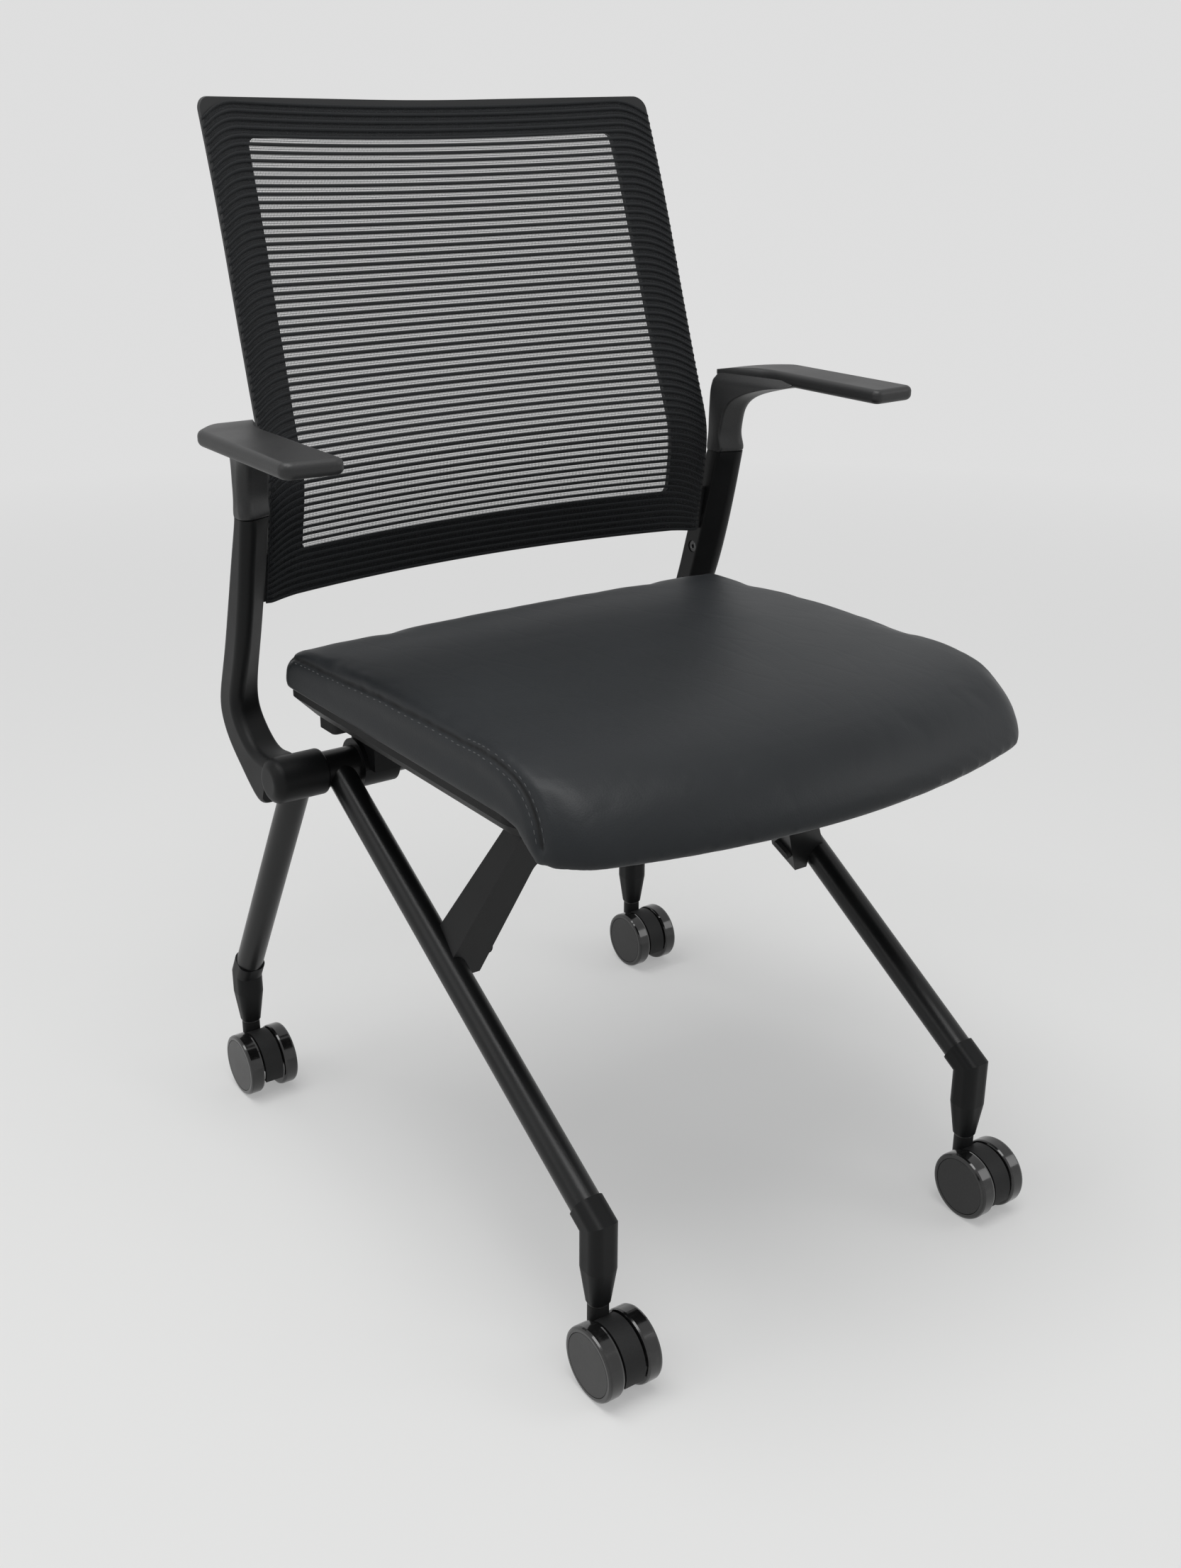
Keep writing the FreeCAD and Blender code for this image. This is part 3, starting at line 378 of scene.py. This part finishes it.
# which CAD node takes which finish
nodeFinish = [
    ("cross_tube", "paint"), ("front_leg", "paint"), ("rear_leg", "paint"), ("seat_support", "paint"),
    ("front_foot", "moulding"), ("rear_foot", "moulding"),
    ("upright_screws", "steel"), ("upright", "moulding"),
    ("arm", "armPad"), ("back_frame", "ring"), ("back_screws", "steel"), ("seat_pan", "pan"),
    ("seat_board", "ply"), ("seat_hinge", "moulding"), ("hinge_strap", "moulding"),
    ("hinge_liners", "hood"), ("flip_stops", "rubber"), ("support_pads", "rubber"),
    ("nesting_bumpers", "rubber"), ("seat_screws", "steel"),
]
casterFinish = [
    ("_caster_stem", "steel"), ("_caster_hood", "hood"), ("_caster_axle", "steel"),
    ("_wheel_cap_", "cap"), ("_wheel_", "tread"),
]

for name, obj in nodes.items():
    chosen = next((finish for part, finish in casterFinish if part in name), None)
    if chosen is None:
        chosen = next((finish for start, finish in nodeFinish if name.startswith(start)), "moulding")
    obj.data.materials.clear()
    obj.data.materials.append(finishes[chosen])
print("carried-over nodes finished")


# seat cushion: puffed by cloth simulation, then seamed and stitched
cushion = dict(voxel=0.0046, shrink=-0.0022, pressure=4.0, frames=20, cap=0.005, smoothing=4,
               restZ=0.4462, restFrontY=-0.190, restHalf=0.2288, hemZ=0.4475, hemRise=0.022,
               grooveDepth=0.0016, grooveWidth=0.0028, swell=0.0007, swellFrom=0.009, swellWidth=0.005,
               seamStep=0.0015, stitchOut=0.0036)
# sewn line on the sitter's left side, rear to front, as (x, y, z)
seamLine = [
    (0.2305, 0.159, 0.4750), (0.2308, 0.128, 0.4775), (0.2308, 0.080, 0.4800), (0.2308, 0.020, 0.4835),
    (0.2306, -0.040, 0.4855), (0.2302, -0.100, 0.4865), (0.2298, -0.145, 0.4860), (0.2290, -0.175, 0.4825),
    (0.2278, -0.197, 0.4755), (0.2265, -0.213, 0.4635), (0.2250, -0.224, 0.4470), (0.2240, -0.229, 0.4310),
]


def finePath(points, step):
    # Catmull-Rom through the points, resampled at an even step
    dense, parts = [], 24
    for i in range(len(points) - 1):
        a = points[max(i - 1, 0)]
        b, c = points[i], points[i + 1]
        d = points[min(i + 2, len(points) - 1)]
        for k in range(parts):
            t = k / parts
            curve = (2 * a - 5 * b + 4 * c - d) * t ** 2 + (3 * b - a - 3 * c + d) * t ** 3
            dense.append(0.5 * (2 * b + (c - a) * t + curve))
    dense.append(points[-1])
    even, travelled = [dense[0]], 0.0
    for first, second in zip(dense, dense[1:]):
        travelled += (second - first).length
        if travelled >= step:
            even.append(second)
            travelled = 0.0
    return even


def makeCushion():
    body = nodeCopy("seat_cushion")
    applyModifier(body, "REMESH", mode="VOXEL", voxel_size=cushion["voxel"], use_smooth_shade=True)
    snug = [v.co.copy() for v in body.data.vertices]
    makeActive(body)
    bpy.ops.object.mode_set(mode="EDIT")
    bpy.ops.mesh.select_all(action="SELECT")
    bpy.ops.transform.shrink_fatten(value=cushion["shrink"])
    bpy.ops.object.mode_set(mode="OBJECT")
    puffUp(body)
    # the hem is stapled under the board, so it keeps its place
    crown = body.vertex_groups.new(name="crown")
    for vertex, tight in zip(body.data.vertices, snug):
        share = max(0.0, min(1.0, (tight.z - cushion["hemZ"]) / cushion["hemRise"]))
        vertex.co = tight.lerp(vertex.co, share)
        crown.add([vertex.index], 0.45 + 0.55 * share, "REPLACE")
    applyModifier(body, "SMOOTH", factor=0.5, iterations=cushion["smoothing"], vertex_group="crown")
    applyModifier(body, "SUBSURF", levels=1, render_levels=1)
    return body


def puffUp(body):
    scene = bpy.context.scene
    start = [v.co.copy() for v in body.data.vertices]
    cloth = body.modifiers.new("cloth", "CLOTH")
    cloth.settings.use_pressure = True
    cloth.settings.uniform_pressure_force = cushion["pressure"]
    cloth.settings.effector_weights.gravity = 0.0
    cloth.settings.quality = 5
    for step in range(1, cushion["frames"] + 1):
        scene.frame_set(step)
    shaped = body.evaluated_get(bpy.context.evaluated_depsgraph_get())
    puffed = [v.co.copy() for v in shaped.data.vertices]
    body.modifiers.remove(cloth)
    scene.frame_set(1)
    drift = sum((b - a for a, b in zip(start, puffed)), Vector()) / len(start)
    for vertex, a, b in zip(body.data.vertices, start, puffed):
        move = b - a - drift
        if move.length > cushion["cap"]:
            move *= cushion["cap"] / move.length
        vertex.co = a + move
    print("cushion puffed, drift %.1f mm" % (drift.length * 1000))


def seamPaths(surface, step):
    paths = []
    for side in (1, -1):
        points = [Vector((side * x, y + shiftY, z)) for x, y, z in seamLine]
        path = []
        for point in finePath(points, step):
            spot, normal = surface.find_nearest(point)[:2]
            path.append((spot, normal, side))
        paths.append(path)
    return paths


def sewGroove(body):
    mesh = body.data
    surface = BVHTree.FromObject(body, bpy.context.evaluated_depsgraph_get())
    paths = seamPaths(surface, cushion["seamStep"])
    spots = [spot for path in paths for spot, normal, side in path]
    tree = KDTree(len(spots))
    for i, spot in enumerate(spots):
        tree.insert(spot, i)
    tree.balance()
    gaps = []
    normals = [v.normal.copy() for v in mesh.vertices]
    for vertex, normal in zip(mesh.vertices, normals):
        gap = tree.find(vertex.co)[2]
        gaps.append(min(gap, 0.05))
        dip = cushion["grooveDepth"] * math.exp(-(gap / cushion["grooveWidth"]) ** 2)
        bulge = (gap - cushion["swellFrom"]) / cushion["swellWidth"]
        swell = cushion["swell"] * math.exp(-bulge ** 2)
        vertex.co += normal * (swell - dip)
    layer = mesh.attributes.new("seamGap", "FLOAT", "POINT")
    layer.data.foreach_set("value", gaps)
    return paths


def restOnBoard(body):
    # flat where the cushion sits on its board, clear of the pan's rim
    low = cushion["restZ"]
    for vertex in body.data.vertices:
        onBoard = vertex.co.y > cushion["restFrontY"] and abs(vertex.co.x) < cushion["restHalf"]
        if vertex.co.z < low and onBoard:
            vertex.co.z = low


def stitchRow(body, paths, offset, frontOnly):
    stitch = dict(length=0.0042, width=0.00085, pitch=4, frontY=-0.12, lift=0.0001)
    surface = BVHTree.FromObject(body, bpy.context.evaluated_depsgraph_get())
    deselectAll()
    bpy.ops.mesh.primitive_uv_sphere_add(segments=8, ring_count=6, radius=0.5)
    master = bpy.context.object
    copies = []
    for path in paths:
        for i in range(2, len(path) - 4, stitch["pitch"]):
            spot, normal, side = path[i]
            if frontOnly and spot.y > stitch["frontY"]:
                continue
            along = (path[i + 2][0] - spot).normalized()
            across = normal.cross(along).normalized()
            if across.x * side < 0:
                across = -across
            near, lift = surface.find_nearest(spot + across * offset)[:2]
            across = lift.cross(along).normalized()
            turn = Matrix((along, across, lift)).transposed().to_4x4()
            size = Matrix.Diagonal((stitch["length"], stitch["width"], stitch["width"] * 0.8, 1))
            copy = bpy.data.objects.new("stitch", master.data.copy())
            copy.data.transform(Matrix.Translation(near + lift * stitch["lift"]) @ turn @ size)
            bpy.context.scene.collection.objects.link(copy)
            copies.append(copy)
    bpy.data.objects.remove(master)
    return copies


seatCushion = makeCushion()
restOnBoard(seatCushion)
seamRows = sewGroove(seatCushion)
smooth(seatCushion, 60)
sideRow = stitchRow(seatCushion, seamRows, cushion["stitchOut"], False)
noseRow = stitchRow(seatCushion, seamRows, -cushion["stitchOut"], True)
stitches = joined(sideRow + noseRow)
finishPiece(seatCushion, "seatCushion", "seat", finishes["leather"])
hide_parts("seat_cushion")
smooth(stitches, 60)
finishPiece(stitches, "seatStitches", "seat", finishes["thread"])
print("cushion sewn,", len(seatCushion.data.polygons), "faces")


# back: ribs of heavy yarn on an open net, stretched over the ring
backSkin = dict(bottomZ=0.5125, topZ=0.9115, bottomHalf=0.233, topHalf=0.2238,
                reach=0.245, sag=0.03427, sideSag=0.031, ribPitch=0.0064, ribWidth=0.0028,
                ribThick=0.0011, ribProud=0.0004, droop=0.015, droopFrom=0.188, segments=150)
# side view of the ring's front edge, bottom to top, as (y, z)
backEdge = [
    (0.1894, 0.496), (0.1873, 0.508), (0.1834, 0.530), (0.1776, 0.562), (0.1738, 0.583), (0.1718, 0.602),
    (0.1722, 0.617), (0.1755, 0.632), (0.1819, 0.650), (0.1967, 0.694), (0.2131, 0.7455), (0.2285, 0.795),
    (0.2428, 0.838), (0.2570, 0.8765), (0.2705, 0.911), (0.2763, 0.925),
]


def edgeY(z):
    for (y0, z0), (y1, z1) in zip(backEdge, backEdge[1:]):
        if z <= z1:
            return y0 + (y1 - y0) * (z - z0) / (z1 - z0)
    return backEdge[-1][0]


def faceY(x, z):
    # front of the stretched mesh: an arc in plan at every height
    reach, sag = backSkin["reach"], backSkin["sag"]
    radius = (reach ** 2 + sag ** 2) / (2 * sag)
    smoothEdge = (edgeY(z - 0.008) + 2 * edgeY(z) + edgeY(z + 0.008)) / 4
    start = smoothEdge - (sag - backSkin["sideSag"])
    return start + sag - (radius - math.sqrt(radius ** 2 - x ** 2)) + shiftY


def halfAt(z):
    share = (z - backSkin["bottomZ"]) / (backSkin["topZ"] - backSkin["bottomZ"])
    return backSkin["bottomHalf"] + (backSkin["topHalf"] - backSkin["bottomHalf"]) * share


def ribHeight(across, level):
    # across runs -1 to 1; level is 0 at the lowest rib and 1 at the highest
    low, high = backSkin["bottomZ"] + 0.004, backSkin["topZ"] - 0.004
    z = low + (high - low) * level
    dip = (0.0005 + 0.0065 * level ** 1.5) * (1 - across ** 2)
    x = abs(across) * halfAt(z)
    past = max(0.0, x - backSkin["droopFrom"]) / (halfAt(z) - backSkin["droopFrom"])
    fade = min(1.0, 0.25 + level * 6)
    return z - dip - backSkin["droop"] * past ** 2.2 * fade


def skinPoint(across, level, proud):
    z = max(ribHeight(across, level), backSkin["bottomZ"] + 0.0015)
    half = halfAt(z) - 0.0012
    x = across * half
    edge = max(0.0, abs(x) - half + 0.004) / 0.004
    slope = (edgeY(z + 0.006) - edgeY(z - 0.006)) / 0.012
    out = Vector((0, -1, slope)).normalized()
    return Vector((x, faceY(x, z) + 0.0022 * edge ** 2, z)) + out * proud


def makeRib():
    # a round bar across the back, cut in even steps along its length only
    deselectAll()
    bpy.ops.mesh.primitive_cylinder_add(vertices=8, radius=1.0, depth=2.0, rotation=(0, math.pi / 2, 0))
    rib = bpy.context.object
    settle(rib)
    bpy.ops.object.mode_set(mode="EDIT")
    bpy.ops.mesh.select_mode(type="EDGE")
    bpy.ops.mesh.select_all(action="DESELECT")
    bpy.ops.object.mode_set(mode="OBJECT")
    for edge in rib.data.edges:
        a, b = (rib.data.vertices[i].co for i in edge.vertices)
        edge.select = abs(a.x - b.x) > 1.0
    bpy.ops.object.mode_set(mode="EDIT")
    bpy.ops.mesh.subdivide(number_cuts=backSkin["segments"] - 1)
    bpy.ops.object.mode_set(mode="OBJECT")
    return rib


def ribRail(station, level):
    # middle of a rib at one place across the back, with its own up and out
    centre = skinPoint(station, level, backSkin["ribProud"])
    beyond = skinPoint(station, min(1.0, level + 0.01), backSkin["ribProud"])
    before = skinPoint(station, max(0.0, level - 0.01), backSkin["ribProud"])
    up = (beyond - before).normalized()
    out = Vector((1, 0, 0)).cross(up).normalized()
    return centre, up, -out if out.y > 0 else out


def makeRibs():
    count = int((backSkin["topZ"] - backSkin["bottomZ"] - 0.008) / backSkin["ribPitch"]) + 1
    master = makeRib()
    rest = [v.co.copy() for v in master.data.vertices]
    ribs = []
    for i in range(count):
        level = i / (count - 1)
        rib = bpy.data.objects.new("rib", master.data.copy())
        bpy.context.scene.collection.objects.link(rib)
        rails = {}
        for vertex, co in zip(rib.data.vertices, rest):
            station = round(max(-1.0, min(1.0, co.x)), 5)
            if station not in rails:
                rails[station] = ribRail(station, level)
            centre, up, out = rails[station]
            high = up * co.z * backSkin["ribWidth"] / 2
            vertex.co = centre + high + out * (-co.y) * backSkin["ribThick"] / 2
        ribs.append(rib)
    bpy.data.objects.remove(master)
    return joined(ribs), count


def makeNet():
    deselectAll()
    bpy.ops.mesh.primitive_grid_add(x_subdivisions=110, y_subdivisions=150, size=2.0)
    net = bpy.context.object
    for vertex in net.data.vertices:
        vertex.co = skinPoint(vertex.co.x, (vertex.co.y + 1) / 2, -0.0001)
    return net


backRibs, ribCount = makeRibs()
makeActive(backRibs)
bpy.ops.object.mode_set(mode="EDIT")
bpy.ops.mesh.select_all(action="SELECT")
bpy.ops.mesh.normals_make_consistent(inside=False)
bpy.ops.object.mode_set(mode="OBJECT")
smooth(backRibs, 60)
finishPiece(backRibs, "backRibs", "root", finishes["rib"])
backNet = makeNet()
finishes["net"] = openNet(ribCount - 1)
smooth(backNet, 60)
finishPiece(backNet, "backNet", "root", finishes["net"])
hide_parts("back_mesh")
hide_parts("back_mesh")
print("back made with", ribCount, "ribs,", len(backRibs.data.polygons), "faces")


# studio: pale sweep, soft lamps, camera where the photograph was taken
cameraSpot = dict(place=(-0.8139, -1.1160, 0.9181), tilt=67.87, turn=-35.21, roll=0.24, lens=39.38)
studio = dict(floor=(0.80, 0.80, 0.785, 1), far=(0.735, 0.735, 0.735, 1),
              world=(0.86, 0.87, 0.89, 1), worldStrength=0.50, size=14.0, wall=6.0, bend=2.0)
lamps = [
    ("ceilingSoftbox", (-0.6, -0.2, 3.2), (0, 0, 0.4), (2.6, 1.6), 62),
    ("leftSoftbox", (-3.2, 0.6, 2.0), (0, 0, 0.5), (1.2, 2.2), 9),
    ("rightFill", (2.6, -2.4, 2.2), (0, 0, 0.4), (1.6, 1.6), 16),
]


seenBy = ("Is Camera Ray", "Is Glossy Ray", "Is Transmission Ray")


def makeSweep():
    deselectAll()
    turn = math.radians(cameraSpot["turn"])
    bpy.ops.mesh.primitive_plane_add(size=studio["size"], rotation=(0, 0, turn))
    sweep = bpy.context.object
    sweep.name = "studioSweep"
    settle(sweep)
    ahead = Vector((-math.sin(turn), math.cos(turn), 0))
    for edge in sweep.data.edges:
        middle = sum((sweep.data.vertices[i].co for i in edge.vertices), Vector()) / 2
        edge.select = middle.dot(ahead) > studio["wall"]
    for vertex in sweep.data.vertices:
        vertex.select = vertex.co.dot(ahead) > studio["wall"]
    for face in sweep.data.polygons:
        face.select = False
    bpy.ops.object.mode_set(mode="EDIT")
    bpy.ops.mesh.select_mode(type="EDGE")
    bpy.ops.mesh.extrude_region_move(TRANSFORM_OT_translate={"value": (0, 0, studio["wall"])})
    bpy.ops.object.mode_set(mode="OBJECT")
    applyModifier(sweep, "BEVEL", width=studio["bend"], segments=16, limit_method="ANGLE")
    smooth(sweep, 60)
    finish = Finish("paleSweep", Specular_IOR_Level=0.2)
    mottle = finish.noise(0.8, 3.0)
    colour = finish.blend(mottle, studio["floor"], tuple(c * 0.985 for c in studio["floor"][:3]) + (1,))
    material = finish.feed(Base_Color=colour, Roughness=finish.spread(mottle, 0, 1, 0.7, 0.8))
    # far from the chair the sweep shows one even shade, and lights nothing; nearer the chair part of the
    # glow is still mixed in, a painted light that lifts the chair's shadow
    reach = finish.add("ShaderNodeVectorMath", {"operation": "LENGTH"}, {0: finish.place()}, "Value")
    rays = [finish.add("ShaderNodeLightPath", {}, {}, kind) for kind in seenBy]
    seen = finish.maths("MINIMUM", rays[0] + rays[1] + rays[2], 1.0)
    # painted light: under the chair 42 percent glow is mixed over the cast shadow, rising to all glow far
    # away
    share = seen * finish.spread(reach, 0.6, 3.2, 0.42, 1.0)
    glow = finish.add("ShaderNodeEmission", {}, {"Color": studio["far"], "Strength": 1.0})
    lit = Wire(finish, finish.shader.outputs[0])
    both = finish.add("ShaderNodeMixShader", {}, {0: share, 1: lit, 2: glow})
    finish.tree.links.new(both.socket, finish.tree.nodes["Material Output"].inputs["Surface"])
    sweep.data.materials.append(material)


def softLamp(name, place, target, size, power):
    data = bpy.data.lights.new(name, "AREA")
    data.shape = "RECTANGLE"
    data.size, data.size_y = size
    data.energy = power
    lamp = bpy.data.objects.new(name, data)
    bpy.context.scene.collection.objects.link(lamp)
    lamp.location = place
    lamp.rotation_euler = (Vector(target) - Vector(place)).to_track_quat("-Z", "Y").to_euler()


def makeCamera():
    data = bpy.data.cameras.new("photoCamera")
    data.sensor_fit = "VERTICAL"
    data.sensor_height = 36.0
    data.lens = cameraSpot["lens"]
    data.clip_end = 60
    camera = bpy.data.objects.new("photoCamera", data)
    bpy.context.scene.collection.objects.link(camera)
    turn = Matrix.Rotation(math.radians(cameraSpot["turn"]), 4, "Z")
    tilt = Matrix.Rotation(math.radians(cameraSpot["tilt"]), 4, "X")
    roll = Matrix.Rotation(math.radians(cameraSpot["roll"]), 4, "Z")
    camera.matrix_world = Matrix.Translation(cameraSpot["place"]) @ turn @ tilt @ roll
    bpy.context.scene.camera = camera


def makeWorld():
    # soft light from all round; the eye and the glossy parts see the far sweep's pale shade
    world = bpy.data.worlds.new("studioWorld")
    bpy.context.scene.world = world
    world.use_nodes = True
    tree = world.node_tree
    background = tree.nodes["Background"]
    background.inputs["Color"].default_value = studio["world"]
    background.inputs["Strength"].default_value = studio["worldStrength"]
    paleRoom = tree.nodes.new("ShaderNodeBackground")
    paleRoom.inputs["Color"].default_value = studio["far"]
    rays = tree.nodes.new("ShaderNodeLightPath")
    seen = rays.outputs[seenBy[0]]
    for kind in seenBy[1:]:
        either = tree.nodes.new("ShaderNodeMath")
        either.operation = "MAXIMUM"
        tree.links.new(seen, either.inputs[0])
        tree.links.new(rays.outputs[kind], either.inputs[1])
        seen = either.outputs[0]
    mixed = tree.nodes.new("ShaderNodeMixShader")
    tree.links.new(seen, mixed.inputs[0])
    tree.links.new(background.outputs[0], mixed.inputs[1])
    tree.links.new(paleRoom.outputs[0], mixed.inputs[2])
    tree.links.new(mixed.outputs[0], tree.nodes["World Output"].inputs["Surface"])


makeSweep()
for lampValues in lamps:
    softLamp(*lampValues)
makeCamera()
makeWorld()
bpy.context.scene.view_settings.view_transform = "Standard"
print("studio set")
